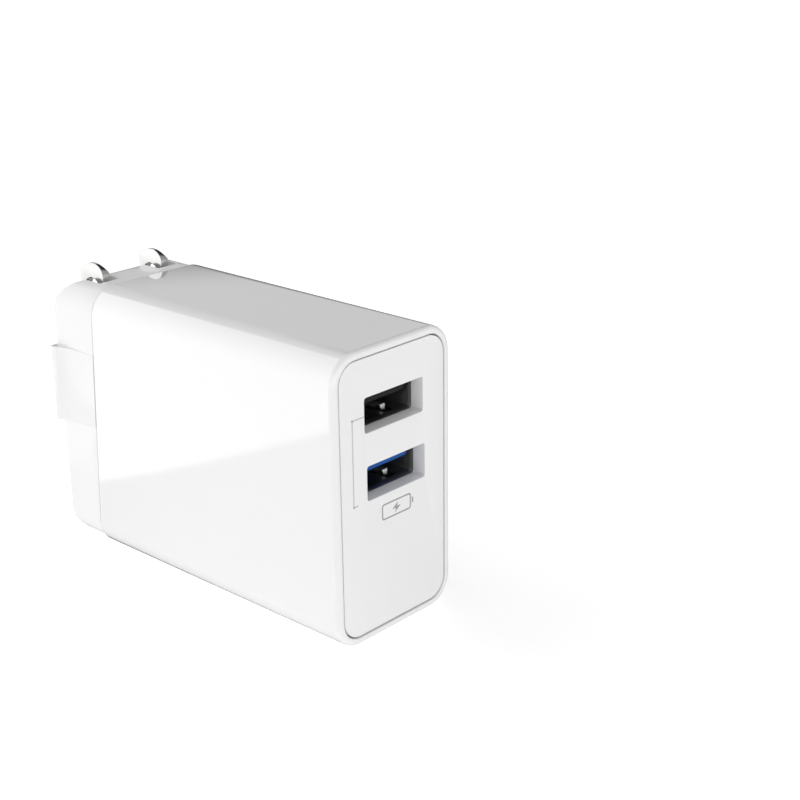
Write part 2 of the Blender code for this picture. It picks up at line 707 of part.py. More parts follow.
def make_choke(materials):
    """A ring core inside its winding, standing on the main board."""
    place = place_at(CHOKE_PLACE)
    core_half = 1.0
    core = []
    coil = []
    for angle in range(0, 360, 18):
        core.append(ring_section(CHOKE_RING_RADIUS, core_half, math.radians(angle), 4, 45.0))
    add("choke_core", skin(core, ring_closes=True), materials["ferrite"], place)
    for angle in range(-60, 61, 12):
        coil.append(ring_section(CHOKE_RING_RADIUS, 2.1, math.radians(angle), 12, 0.0))
    winding = add("choke_winding", skin(coil), materials["copper"], place)
    bore = []
    for angle in range(-66, 67, 6):
        bore.append(ring_section(CHOKE_RING_RADIUS, 1.5, math.radians(angle), 12, 0.0))
    cut(winding, skin(bore), "core_bore")


def ring_section(ring_radius, radius, angle, steps, turn):
    """One section of a ring lying in YZ."""
    points = []
    for i in range(steps):
        around = math.radians(360.0 * i / steps + turn)
        distance = ring_radius + radius * math.cos(around)
        points.append((radius * math.sin(around), distance * math.cos(angle), distance * math.sin(angle)))
    return points


def make_components(materials):
    face = COMPONENT_FACE_X
    black = materials["black_plastic"]
    for number, center in enumerate(INPUT_CAPACITOR_PLACES, start=1):
        name = f"input_capacitor_{number}"
        make_capacitor(name, INPUT_CAPACITOR_RADIUS, INPUT_CAPACITOR_LENGTH, place_at(center), black)
    can = materials["aluminium"]
    for number, center in enumerate(OUTPUT_CAPACITOR_PLACES, start=1):
        name = f"output_capacitor_{number}"
        make_capacitor(name, OUTPUT_CAPACITOR_RADIUS, OUTPUT_CAPACITOR_LENGTH, place_at(center), can)
    make_disc("y_capacitor", 3.2, 2.4, place_at(Y_CAPACITOR_PLACE), materials["blue_lacquer"])
    make_disc("varistor", 3.6, 3.0, place_at(VARISTOR_PLACE), materials["red_lacquer"])
    film_box = rounded_rectangle(face, face + 7.5, 7.0, 13.5, 0.5, 2)
    add("x_capacitor", prism(film_box, "Y", y_at(32.6), y_at(45.0)), materials["yellow_film"])
    fuse = turned(((-5.0, 1.5), (-4.9, 1.8), (4.9, 1.8), (5.0, 1.5)), "Z", 16)
    add("fuse", fuse, black, place_at(FUSE_PLACE))
    add("bridge_rectifier", block(face, face + 2.6, y_at(45.6), y_at(49.4), 18.6, 23.2), black)
    heatsink_profile = [(8.4, 46.0), (9.6, 46.0), (9.6, 24.0), (5.6, 24.0), (5.6, 25.2), (8.4, 25.2)]
    heatsink = prism([(x, y_at(depth)) for x, depth in heatsink_profile], "Z", 12.0, 34.0)
    add("heatsink", heatsink, materials["aluminium"])
    add("switching_mosfet", block(5.9, 8.3, y_at(29.0), y_at(38.5), 16.0, 25.0), black)
    outer_face = MAIN_BOARD_X - BOARD_THICKNESS / 2 - 0.05
    chip_low = outer_face - 1.0
    add("controller_ic", block(chip_low, outer_face, y_at(40.0), y_at(45.0), 20.0, 24.0), black)
    add("rectifier_ic", block(chip_low, outer_face, y_at(26.0), y_at(31.0), 26.0, 30.0), black)
    back = y_at(USB_BOARD_DEPTH + BOARD_THICKNESS + 0.05)
    add("protocol_ic", block(-2.5, 2.5, back, back + 0.9, 15.0, 20.0), black)
    add("board_link", block(face, face + 2.4, back, back + 2.6, 28.6, 34.2), black)
    add("insulation_sheet", block(5.05, 5.3, y_at(22.8), y_at(47.4), 13.0, 33.4), materials["yellow_film"])


def make_wires(materials):
    """Leads from the two contact springs to the main board."""
    routes = {
        "wire_live": (-1, -4.9, 20.5, "black_wire"),
        "wire_neutral": (1, -4.0, 16.5, "white_wire"),
    }
    for name, (side, end_x, end_z, material) in routes.items():
        start_x = side * BLADE_SPACING / 2
        start_y = y_at(CAP_INNER_DEPTH - 2.9)
        points = (
            (start_x, start_y, PIVOT_HEIGHT + 5.5), (start_x * 0.95, start_y, PIVOT_HEIGHT + 2.0),
            (start_x * 0.75, start_y - 0.5, PIVOT_HEIGHT - 5.0), (end_x + 1.2, y_at(52.2), end_z),
            (end_x - 1.5, y_at(52.0), end_z - 1.0), (COMPONENT_FACE_X + 0.2, y_at(52.0), end_z - 1.2),
        )
        wire(name, points, 0.6, materials[material])


def make_receptacles(materials):
    tongue_materials = {"upper": "black_plastic", "lower": "blue_plastic"}
    for port, (center_x, center_z) in PORT_CENTERS.items():
        place = (center_x, y_at(SHELL_FRONT), center_z)
        make_usb_shell(f"usb_shell_{port}", place, materials["steel"])
        make_usb_tongue(f"usb_tongue_{port}", place, materials[tongue_materials[port]])
        for number, x in enumerate(CONTACT_PITCHES, start=1):
            make_usb_contact(f"usb_contact_{port}_{number}", x, place, materials["brass"])


def main():
    clear_scene()
    materials = {name: make_material(name, *values) for name, values in MATERIAL_TABLE.items()}
    make_main_sleeve(materials["white_gloss"])
    make_port_panel(materials["white_satin"])
    make_rear_cap(materials["white_satin"])
    make_hinge_retainer(materials["black_plastic"])
    make_blade_carrier(materials["white_satin"])
    make_detent_spring(materials["steel"])
    for name, side in (("left", -1), ("right", 1)):
        make_blade(f"blade_{name}", side, materials["nickel"])
        make_contact_spring(f"contact_spring_{name}", side, materials["brass"])
    make_receptacles(materials)
    make_boards(materials["board_green"])
    make_transformer(materials)
    make_choke(materials)
    make_components(materials)
    make_wires(materials)


main()
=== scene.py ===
"""Looks of the USB wall charger: fine shells, plug, receptacles, print and materials around the CAD frame.

Lengths in this file are in millimetres in the frame's own axes (+X right as seen from the ports, +Y from the
ports to the outlet side, +Z up) and are turned into metres when a mesh is made.
"""
import json
import math

import bmesh
import bpy
from mathutils import Matrix, Vector


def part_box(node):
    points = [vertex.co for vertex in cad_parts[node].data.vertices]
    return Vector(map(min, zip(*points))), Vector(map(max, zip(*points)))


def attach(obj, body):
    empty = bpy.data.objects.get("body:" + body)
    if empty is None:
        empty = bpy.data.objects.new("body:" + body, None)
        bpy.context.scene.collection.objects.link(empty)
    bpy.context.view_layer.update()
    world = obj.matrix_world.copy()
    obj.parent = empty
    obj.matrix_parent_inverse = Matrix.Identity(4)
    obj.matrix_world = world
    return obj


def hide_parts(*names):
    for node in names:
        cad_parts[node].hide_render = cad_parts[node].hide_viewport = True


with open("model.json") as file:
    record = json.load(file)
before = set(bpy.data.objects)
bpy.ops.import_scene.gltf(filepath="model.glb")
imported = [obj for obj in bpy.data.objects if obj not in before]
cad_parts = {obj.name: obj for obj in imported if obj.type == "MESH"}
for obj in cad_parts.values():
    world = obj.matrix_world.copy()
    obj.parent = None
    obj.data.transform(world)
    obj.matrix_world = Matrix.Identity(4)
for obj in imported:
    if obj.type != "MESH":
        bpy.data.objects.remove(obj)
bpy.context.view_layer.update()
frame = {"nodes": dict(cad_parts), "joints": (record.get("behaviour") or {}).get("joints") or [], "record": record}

MM = 0.001


def box_mm(node):
    """A CAD node's lowest and highest corner in millimetres."""
    low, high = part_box(node)
    return low / MM, high / MM


# ---------------------------------------------------------------- places taken from the frame
SLEEVE_LOW, SLEEVE_HIGH = box_mm("main_sleeve")
PANEL_LOW, PANEL_HIGH = box_mm("port_panel")
CAP_LOW, CAP_HIGH = box_mm("rear_cap")
CARRIER_LOW, CARRIER_HIGH = box_mm("blade_carrier")
BLADE_LOW, BLADE_HIGH = box_mm("blade_right")
PIVOT = Vector(frame["joints"][0]["pos_m"]) / MM

HALF_WIDTH = SLEEVE_HIGH.x
HEIGHT = SLEEVE_HIGH.z
FRONT = SLEEVE_LOW.y
REAR = CAP_HIGH.y
PANEL_FRONT = PANEL_LOW.y
PANEL_BACK = PANEL_HIGH.y
PANEL_INSET = HALF_WIDTH - PANEL_HIGH.x
GRIP_REACH = CAP_HIGH.x
CAP_BOTTOM = CAP_LOW.z
CAP_TOP = CAP_HIGH.z

# ---------------------------------------------------------------- sizes of the case
BODY_RADIUS = 4.9
SLEEVE_WALL = 1.8
RIM_WALL = 1.24
RIM_FILLET = 0.9
SEAM_LOW = SLEEVE_HIGH.y
SEAM_HIGH = SEAM_LOW - 3.0
SEAM_GAP = 0.42
SEAM_EDGE = 0.18
RIM_INNER_EDGE = 0.12
PANEL_EDGE = 0.1
LEDGE_CLEARANCE = 0.05
CORNER_STEPS = 20
PORT_WIDTH = 13.0
PORT_HEIGHT = 5.6
PORT_RADIUS = 0.45
PORT_FILLET = 0.14

# ---------------------------------------------------------------- sizes of the rear cap
CAP_HALF_WIDTH = 12.72
CAP_RADIUS = 4.8
CAP_REAR_RADIUS = 5.3
CAP_FILLET = 0.5
CAP_EDGE = 0.08
CAP_WALL = 1.7
CAP_INNER_Y = REAR - 9.43
SPIGOT_LENGTH = 3.0
SPIGOT_INSET = SLEEVE_WALL + 0.15
GRIP_BOTTOM = 22.6
GRIP_TOP = 36.0
GRIP_NEAR = 12.8
GRIP_ROOT = CAP_HALF_WIDTH - 1.2
GRIP_RIM = 0.85
GRIP_RIM_FILLET = 0.16
GRIP_POWER = 3.6
GRIP_EDGE = 0.1
GRIP_STEPS = 14
SLOT_HALF_WIDTH = 2.18
SLOT_FRONT_Y = REAR - 7.98
SLOT_BOTTOM = 25.4
SLOT_FILLET = 0.28
WINDOW_MARGIN = 0.02
WINDOW_BOTTOM = PIVOT.z - 4.05
WINDOW_TOP = PIVOT.z + 4.9
LOWER_POCKET_Z = (7.0, 23.7)
UPPER_POCKET_Z = (30.4, 44.0)
UPPER_POCKET_HALF_WIDTH = 3.0
CUT_OVERRUN = 0.5

# ---------------------------------------------------------------- sizes of the plug
BLADE_X = (BLADE_LOW.x + BLADE_HIGH.x) / 2
BLADE_HALF_WIDTH = (BLADE_HIGH.y - BLADE_LOW.y) / 2
BLADE_HALF_THICKNESS = (BLADE_HIGH.x - BLADE_LOW.x) / 2
BLADE_REACH = BLADE_HIGH.z - PIVOT.z
BLADE_TAIL = PIVOT.z - BLADE_LOW.z
BLADE_TAIL_HALF_WIDTH = 1.5
BLADE_TAIL_TOP = -0.85
BLADE_EDGE = 0.12
BLADE_TIP_LENGTH = 1.42
BLADE_TIP_HALF_THICKNESS = 0.27
BLADE_HOLE_REACH = 15.85
BLADE_HOLE_RADIUS = 1.85
BLADE_HOLE_FLARE = 0.24
COLLAR_HEIGHT = 1.0
COLLAR_MARGIN = 0.22
HUB_REACH = PIVOT.z - CARRIER_LOW.z
HUB_HALF_WIDTH = 2.03
HUB_FILLET = 0.3
HUB_SIDE_FILLET = 0.22
BLADE_FIT = 0.05
SHAFT_RADIUS = 1.5
SHAFT_HALF_LENGTH = CARRIER_HIGH.x
BEARING_RADIUS = 1.6
BEARING_END_GAP = 0.15

# ---------------------------------------------------------------- receptacles
PORTS = ("upper", "lower")
SHELL_SHEET = 0.3
SHELL_RADIUS = 0.55
FINGER_X = 2.75
FINGER_TIP = 1.2
FINGER_ROOT = 7.4
FINGER_SHEET = 0.18
FINGER_GAP_TIP = 1.05
FINGER_GAP_ROOT = 1.75
# distance from the shell's mouth, height above the wall, half width
FINGER_STATIONS = (
    (7.7, 0.0, 1.35), (6.8, 0.02, 1.25), (5.0, 0.30, 1.0), (3.4, 0.66, 0.74),
    (2.8, 0.76, 0.6), (2.55, 0.72, 0.56), (2.38, 0.02, 0.33),
)
TONGUE_WIDTH = 11.1
TONGUE_THICKNESS = 1.75
TONGUE_BASE_LENGTH = 2.2
# distance from the tongue's tip, how far the outline is drawn in
TONGUE_NOSE = ((0.0, 0.28), (0.12, 0.12), (0.35, 0.02), (0.7, 0.0))
# share of the contact's length, share of its width, rise of its lower face
CONTACT_STATIONS = ((0.0, 0.3, 0.0), (0.02, 0.75, 0.0), (0.06, 1.0, 0.0), (0.3, 1.0, 0.05), (1.0, 1.0, 0.0))

# ---------------------------------------------------------------- print on the panel
INK_THICKNESS = 0.012
LINE_WIDTH = 0.22
BRACKET_LEFT = -8.95
BRACKET_BOTTOM = 23.4
BRACKET_FOOT = 0.85
ICON_CENTER = (0.4, 20.45)
ICON_HALF_SIZE = (3.3, 1.35)
ICON_RADIUS = 0.5
ICON_INNER_RADIUS = 0.28
ICON_STROKE = 0.26
ICON_NUB = ((0.0, -0.5), (0.32, -0.4), (0.32, 0.4), (0.0, 0.5))
ICON_NUB_GAP = 0.22
ICON_BOLT = ((0.35, 0.86), (-0.95, -0.14), (-0.12, -0.14), (-0.35, -0.86), (0.95, 0.14), (0.12, 0.14))

# ---------------------------------------------------------------- camera: place in mm, angles in degrees
CAMERA_PLACE = (-157.290, -179.189, 116.676)
CAMERA_AZIMUTH = -47.472
CAMERA_ELEVATION = 20.140
CAMERA_ROLL = -0.728
CAMERA_LENS = 68.477
CAMERA_SENSOR = 36.0

# ---------------------------------------------------------------- studio light
# strengths, directions, and (start, end) of each soft edge as the cosine to its direction
UP = (0.0, 0.0, 1.0)
DOME = 0.495
BAND = 0.1
BAND_FOOT = (-0.30, 0.02)
BAND_TOP = (0.75, 0.05)
FRONT_EXTRA = 1.2
FRONT_SIDE = (-0.45, -0.85, 0.0)
FRONT_EDGE = (-0.4, 0.9)
SOFTBOX_LOW = 1.0
SOFTBOX_HIGH = 1.2
SOFTBOX_RISE = (-0.3, 0.5)
SOFTBOX_SIDE = (-1.0, 0.0, 0.0)
SOFTBOX_SIDE_EDGE = (-0.10, -0.05)
SOFTBOX_BACK = (0.0, 1.0, 0.0)
SOFTBOX_BACK_EDGE = (0.3, 0.5)
SOFTBOX_ABOVE = (-0.127, 0.371, 0.920)
SOFTBOX_LOWER_EDGE = (-0.004, 0.004)
HIGH_SCREEN = (0.62, 0.33, 0.70)
HIGH_SCREEN_EDGE = (0.90, 0.955)
HIGH_SCREEN_LEVEL = 0.05
LOW_SCREEN = (0.62, 0.76, -0.15)
LOW_SCREEN_EDGE = (0.78, 0.92)
LOW_SCREEN_TOP = (0.20, 0.08)
LOW_SCREEN_DIP = 0.85
FLOOR_GLOW = 0.42
FLOOR_HALF_SIZE = 4.0


# ---------------------------------------------------------------- node materials

def new_material(name, color, roughness, metallic=0.0, **settings):
    """A Principled material whose constant values sit on the shader's own sockets."""
    material = bpy.data.materials.new(name)
    material.use_nodes = True
    shader = material.node_tree.nodes["Principled BSDF"]
    shader.inputs["Base Color"].default_value = (*color, 1.0)
    shader.inputs["Roughness"].default_value = roughness
    shader.inputs["Metallic"].default_value = metallic
    for socket, value in settings.items():
        shader.inputs[socket.replace("_", " ")].default_value = value
    material.diffuse_color = (*color, 1.0)
    return material, shader


def add_node(material, kind, **settings):
    node = material.node_tree.nodes.new(kind)
    for key, value in settings.items():
        if key in node.inputs:
            node.inputs[key].default_value = value
        else:
            setattr(node, key, value)
    return node


def object_position(material, scale=(1.0, 1.0, 1.0)):
    """Object coordinates with a scale of their own on each axis."""
    coordinates = add_node(material, "ShaderNodeTexCoord")
    mapping = add_node(material, "ShaderNodeMapping", Scale=scale)
    material.node_tree.links.new(coordinates.outputs["Object"], mapping.inputs["Vector"])
    return mapping.outputs["Vector"]


def noise(material, position, scale, detail=3.0, roughness=0.5):
    node = add_node(material, "ShaderNodeTexNoise", Scale=scale, Detail=detail, Roughness=roughness)
    material.node_tree.links.new(position, node.inputs["Vector"])
    return node.outputs["Fac"]


def remap(material, value, low, high):
    node = add_node(material, "ShaderNodeMapRange")
    node.inputs["To Min"].default_value = low
    node.inputs["To Max"].default_value = high
    material.node_tree.links.new(value, node.inputs["Value"])
    return node.outputs["Result"]


def blend_colors(material, factor, first, second):
    node = add_node(material, "ShaderNodeMix", data_type="RGBA")
    node.inputs[6].default_value = (*first, 1.0)
    node.inputs[7].default_value = (*second, 1.0)
    material.node_tree.links.new(factor, node.inputs[0])
    return node.outputs[2]


def bump(material, shader, height, strength, distance):
    node = add_node(material, "ShaderNodeBump", Strength=strength, Distance=distance)
    material.node_tree.links.new(height, node.inputs["Height"])
    material.node_tree.links.new(node.outputs["Normal"], shader.inputs["Normal"])


def moulded_plastic(name, color, roughness, grain, strength, coat=0.0, coat_roughness=0.03, **settings):
    """Moulded plastic: faint flow variation in the colour, uneven gloss and a fine surface grain."""
    material, shader = new_material(
        name, color, roughness, Coat_Weight=coat, Coat_Roughness=coat_roughness, **settings)
    links = material.node_tree.links
    position = object_position(material)
    flow = noise(material, position, 45.0)
    darker = [channel * 0.975 for channel in color]
    links.new(blend_colors(material, flow, color, darker), shader.inputs["Base Color"])
    patches = noise(material, position, 160.0)
    links.new(remap(material, patches, roughness * 0.85, roughness * 1.15), shader.inputs["Roughness"])
    bump(material, shader, noise(material, position, grain, 4.0, 0.6), strength, 0.00002)
    return material


def brushed_metal(name, color, roughness, stretch, dark=0.82):
    """Plated sheet with fine drawn lines along one axis and a cloudy tone."""
    material, shader = new_material(name, color, roughness, 1.0, Anisotropic=0.3)
    links = material.node_tree.links
    lines = noise(material, object_position(material, stretch), 1.0, 6.0, 0.7)
    clouds = noise(material, object_position(material), 260.0)
    tone = add_node(material, "ShaderNodeMath", operation="MULTIPLY")
    links.new(lines, tone.inputs[0])
    links.new(clouds, tone.inputs[1])
    darker = [channel * dark for channel in color]
    links.new(blend_colors(material, remap(material, tone.outputs["Value"], 0.0, 2.2), color, darker),
              shader.inputs["Base Color"])
    links.new(remap(material, lines, roughness * 0.75, roughness * 1.3), shader.inputs["Roughness"])
    bump(material, shader, lines, 0.12, 0.00001)
    return material


def wound_wire(name, color, axis_scale):
    """Enamelled turns shown as fine parallel ridges, with the colour darker in the grooves between the turns as
    painted shade.
    """
    material, shader = new_material(name, color, 0.3, 0.6)
    links = material.node_tree.links
    position = object_position(material, axis_scale)
    wave = add_node(material, "ShaderNodeTexWave", Scale=1.0, Distortion=0.6)
    links.new(position, wave.inputs["Vector"])
    # painted shade: the same wave that raises the ridges colours the grooves between the turns darker
    darker = [channel * 0.55 for channel in color]
    links.new(blend_colors(material, wave.outputs["Fac"], darker, color), shader.inputs["Base Color"])
    bump(material, shader, wave.outputs["Fac"], 0.5, 0.0001)
    return material


def circuit_board(name):
    """Green solder mask over a pattern of tracks."""
    material, shader = new_material(name, (0.02, 0.17, 0.07), 0.35, Coat_Weight=0.3)
    links = material.node_tree.links
    position = object_position(material)
    tracks = add_node(material, "ShaderNodeTexVoronoi", Scale=420.0, distance="MANHATTAN", feature="F1")
    links.new(position, tracks.inputs["Vector"])
    color = blend_colors(material, tracks.outputs["Distance"], (0.02, 0.17, 0.07), (0.05, 0.30, 0.13))
    links.new(color, shader.inputs["Base Color"])
    bump(material, shader, tracks.outputs["Distance"], 0.3, 0.00004)
    return material


def sintered(name, color):
    """Speckled ferrite."""
    material, shader = new_material(name, color, 0.55)
    links = material.node_tree.links
    position = object_position(material)
    speckle = noise(material, position, 2500.0, 5.0, 0.7)
    lighter = [channel * 2.2 for channel in color]
    links.new(blend_colors(material, speckle, color, lighter), shader.inputs["Base Color"])
    bump(material, shader, speckle, 0.4, 0.00003)
    return material


def print_ink(name, color):
    """Pad-printed ink with slightly uneven cover."""
    material, shader = new_material(name, color, 0.45)
    position = object_position(material)
    cover = noise(material, position, 3000.0, 4.0, 0.6)
    lighter = [min(1.0, channel * 1.15) for channel in color]
    material.node_tree.links.new(blend_colors(material, cover, color, lighter), shader.inputs["Base Color"])
    return material


def make_materials():
    return {
        "case_gloss": moulded_plastic("case_gloss_white", (0.82, 0.82, 0.823), 0.035, 900.0, 0.015, 0.6),
        "panel_satin": moulded_plastic("panel_white", (0.82, 0.82, 0.823), 0.16, 1200.0, 0.04, 0.5),
        "cap_satin": moulded_plastic(
            "cap_white", (0.83, 0.83, 0.832), 0.3, 2600.0, 0.05, 0.5, 0.08, Specular_IOR_Level=0.12),
        "black_plastic": moulded_plastic(
            "black_moulding", (0.014, 0.014, 0.015), 0.45, 3000.0, 0.2, Specular_IOR_Level=0.2),
        "blue_plastic": moulded_plastic(
            "blue_moulding", (0.006, 0.085, 0.33), 0.4, 3000.0, 0.15, Specular_IOR_Level=0.25),
        "nickel": brushed_metal("nickel_plate", (0.64, 0.64, 0.635), 0.16, (900.0, 6000.0, 700.0)),
        "steel": brushed_metal("shell_steel", (0.34, 0.34, 0.345), 0.34, (5000.0, 500.0, 5000.0)),
        "spring": brushed_metal("spring_steel", (0.80, 0.80, 0.79), 0.36, (5000.0, 500.0, 5000.0)),
        "brass": brushed_metal("contact_brass", (0.78, 0.58, 0.28), 0.25, (4000.0, 400.0, 4000.0)),
        "aluminium": brushed_metal("can_aluminium", (0.74, 0.74, 0.76), 0.32, (900.0, 4000.0, 900.0)),
        "copper": wound_wire("copper_turns", (0.70, 0.30, 0.14), (600.0, 600.0, 600.0)),
        "board": circuit_board("circuit_board"),
        "ferrite": sintered("ferrite", (0.035, 0.035, 0.04)),
        "yellow_film": moulded_plastic("polyester_film", (0.80, 0.55, 0.07), 0.3, 700.0, 0.3, 0.4),
        "red_lacquer": moulded_plastic("red_dip", (0.55, 0.06, 0.03), 0.28, 900.0, 0.3, 0.4),
        "blue_lacquer": moulded_plastic("blue_dip", (0.06, 0.2, 0.58), 0.28, 900.0, 0.3, 0.4),
        "wire_black": moulded_plastic("black_insulation", (0.02, 0.02, 0.02), 0.5, 2000.0, 0.2),
        "wire_white": moulded_plastic("white_insulation", (0.82, 0.82, 0.82), 0.5, 2000.0, 0.2),
        "print": print_ink("grey_print", (0.30, 0.30, 0.30)),
        "print_light": print_ink("light_print", (0.47, 0.47, 0.47)),
    }


# ---------------------------------------------------------------- outlines and solids

def arc(center, radius, start, end, steps):
    """Points on an arc, angles in degrees."""
    points = []
    for i in range(steps + 1):
        angle = math.radians(start + (end - start) * i / steps)
        points.append((center[0] + radius * math.cos(angle), center[1] + radius * math.sin(angle)))
    return points


def circle(center, radius, steps):
    return arc(center, radius, 0.0, 360.0 * (steps - 1) / steps, steps - 1)


def rounded_rectangle(a_low, a_high, b_low, b_high, radius, steps):
    corners = (
        (a_high - radius, b_low + radius, -90.0),
        (a_high - radius, b_high - radius, 0.0),
        (a_low + radius, b_high - radius, 90.0),
        (a_low + radius, b_low + radius, 180.0),
    )
    points = []
    for a, b, start in corners:
        points += arc((a, b), radius, start, start + 90.0, steps)
    return points


def body_outline(inset):
    """The case's outline in XZ, moved inwards by inset."""
    half = HALF_WIDTH - inset
    return rounded_rectangle(-half, half, inset, HEIGHT - inset, max(BODY_RADIUS - inset, 0.05), CORNER_STEPS)


def skin(rings, ring_closes=False):
    """A closed solid through rings of equal point counts; a tube where the last ring meets the first."""
    mesh = bmesh.new()
    loops = [[mesh.verts.new(point) for point in ring] for ring in rings]
    pairs = list(zip(loops, loops[1:]))
    if ring_closes:
        pairs.append((loops[-1], loops[0]))
    for first, second in pairs:
        count = len(first)
        for i in range(count):
            j = (i + 1) % count
            mesh.faces.new((first[i], first[j], second[j], second[i]))
    if not ring_closes:
        mesh.faces.new(list(reversed(loops[0])))
        mesh.faces.new(loops[-1])
    bmesh.ops.recalc_face_normals(mesh, faces=mesh.faces)
    return mesh


def lift(outline, axis, level):
    """Place a flat outline at a level on the X, Y or Z axis."""
    if axis == "X":
        return [(level, a, b) for a, b in outline]
    if axis == "Y":
        return [(a, level, b) for a, b in outline]
    return [(a, b, level) for a, b in outline]


def prism(outline, axis, low, high):
    return skin([lift(outline, axis, low), lift(outline, axis, high)])


def block(x_low, x_high, y_low, y_high, z_low, z_high):
    outline = [(x_low, y_low), (x_high, y_low), (x_high, y_high), (x_low, y_high)]
    return prism(outline, "Z", z_low, z_high)


def soft_block(x_low, x_high, y_low, y_high, z_low, z_high, fillet, steps=3):
    """A block with all its edges rounded, as a stack of rounded rectangles along Y."""
    rings = []
    for along, inset in edge_rounding(y_low, y_high, fillet, steps):
        outline = rounded_rectangle(
            x_low + inset, x_high - inset, z_low + inset, z_high - inset, max(fillet - inset, 0.02), steps)
        rings.append(lift(outline, "Y", along))
    return skin(rings)


def edge_rounding(low, high, fillet, steps):
    """(level, inset) pairs that round both ends of an extrusion."""
    start = []
    for i in range(steps, -1, -1):
        angle = math.radians(90.0 * i / steps)
        start.append((low + fillet * (1.0 - math.sin(angle)), fillet * (1.0 - math.cos(angle))))
    end = [(high - (level - low), inset) for level, inset in reversed(start)]
    return start + end


def append_mesh(target, addition):
    """Add one mesh to another and free it."""
    data = bpy.data.meshes.new("part")
    addition.to_mesh(data)
    addition.free()
    target.from_mesh(data)
    bpy.data.meshes.remove(data)


def to_object(name, mesh, material, sharp_angle=32.0):
    """Turn a mesh in millimetres into an object in metres."""
    bmesh.ops.scale(mesh, vec=(MM, MM, MM), verts=mesh.verts)
    data = bpy.data.meshes.new(name)
    mesh.to_mesh(data)
    mesh.free()
    item = bpy.data.objects.new(name, data)
    data.materials.append(material)
    data.shade_smooth()
    data.set_sharp_from_angle(angle=math.radians(sharp_angle))
    bpy.context.scene.collection.objects.link(item)
    return item


def boolean(item, operation, mesh, sharp_angle=32.0):
    """Apply a boolean with a tool mesh and remove the tool again."""
    tool = to_object(f"{item.name}_tool", mesh, item.data.materials[0])
    modifier = item.modifiers.new("shape", "BOOLEAN")
    modifier.operation = operation
    modifier.solver = "EXACT"
    modifier.object = tool
    graph = bpy.context.evaluated_depsgraph_get()
    shaped = bpy.data.meshes.new_from_object(item.evaluated_get(graph))
    item.modifiers.clear()
    item.data = shaped
    item.data.shade_smooth()
    item.data.set_sharp_from_angle(angle=math.radians(sharp_angle))
    bpy.data.objects.remove(tool, do_unlink=True)


def place(item, body, node):
    """Let a piece ride on its body and stand for its CAD node, which is hidden."""
    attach(item, body)
    if node:
        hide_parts(node)
    return item


# ---------------------------------------------------------------- case

def seam_y(height):
    """The seam between sleeve and cap leans forward towards the top."""
    return SEAM_LOW + (SEAM_HIGH - SEAM_LOW) * height / HEIGHT


def seam_ring(inset, offset):
    """The case's outline on the leaning seam, moved inwards by inset and back by offset."""
    return [(x, seam_y(z) + offset, z) for x, z in body_outline(inset)]


def make_sleeve(material):
    """The sleeve: a rounded rim round the panel, the outer wall, the seam edge and the bore inside."""
    ledge = PANEL_BACK + LEDGE_CLEARANCE
    front_path = [(RIM_WALL, ledge - FRONT)]
    front_path += arc((RIM_WALL - RIM_INNER_EDGE, RIM_INNER_EDGE), RIM_INNER_EDGE, 0.0, -90.0, 4)
    front_path += arc((RIM_FILLET, RIM_FILLET), RIM_FILLET, -90.0, -180.0, 10)
    rings = [lift(body_outline(inset), "Y", FRONT + offset) for inset, offset in front_path]
    seam_path = arc((SEAM_EDGE, -SEAM_EDGE), SEAM_EDGE, 180.0, 90.0, 5)
    seam_path.append((SLEEVE_WALL, 0.0))
    rings += [seam_ring(inset, offset) for inset, offset in seam_path]
    rings.append(lift(body_outline(SLEEVE_WALL), "Y", ledge))
    return to_object("sleeve_shell", skin(rings, ring_closes=True), material)


def port_outline(center, margin):
    """A port opening's outline, wider by margin."""
    half_w = PORT_WIDTH / 2 + margin
    half_h = PORT_HEIGHT / 2 + margin
    x, z = center
    return rounded_rectangle(x - half_w, x + half_w, z - half_h, z + half_h, PORT_RADIUS + margin, 6)


def port_center(port):
    """The X and Z of a port's middle."""
    low, high = box_mm(f"usb_shell_{port}")
    return (low.x + high.x) / 2, (low.z + high.z) / 2


def make_panel(material):
    """The front panel with two openings whose edges are rounded."""
    path = [(PANEL_INSET, PANEL_BACK - PANEL_FRONT)]
    path += arc((PANEL_INSET + PANEL_EDGE, PANEL_EDGE), PANEL_EDGE, 180.0, 270.0, 5)
    rings = [lift(body_outline(inset), "Y", PANEL_FRONT + offset) for inset, offset in path]
    panel = to_object("front_panel", skin(rings), material)
    for port in PORTS:
        center = port_center(port)
        cutter = [lift(port_outline(center, PORT_FILLET), "Y", PANEL_FRONT - 1.0)]
        for i in range(5):
            angle = math.radians(90.0 * i / 4)
            margin = PORT_FILLET * (1.0 - math.sin(angle))
            offset = PORT_FILLET * (1.0 - math.cos(angle))
            cutter.append(lift(port_outline(center, margin), "Y", PANEL_FRONT + offset))
        cutter.append(lift(port_outline(center, 0.0), "Y", PANEL_BACK + 1.0))
        boolean(panel, "DIFFERENCE", skin(cutter))
    return panel


# ---------------------------------------------------------------- rear cap

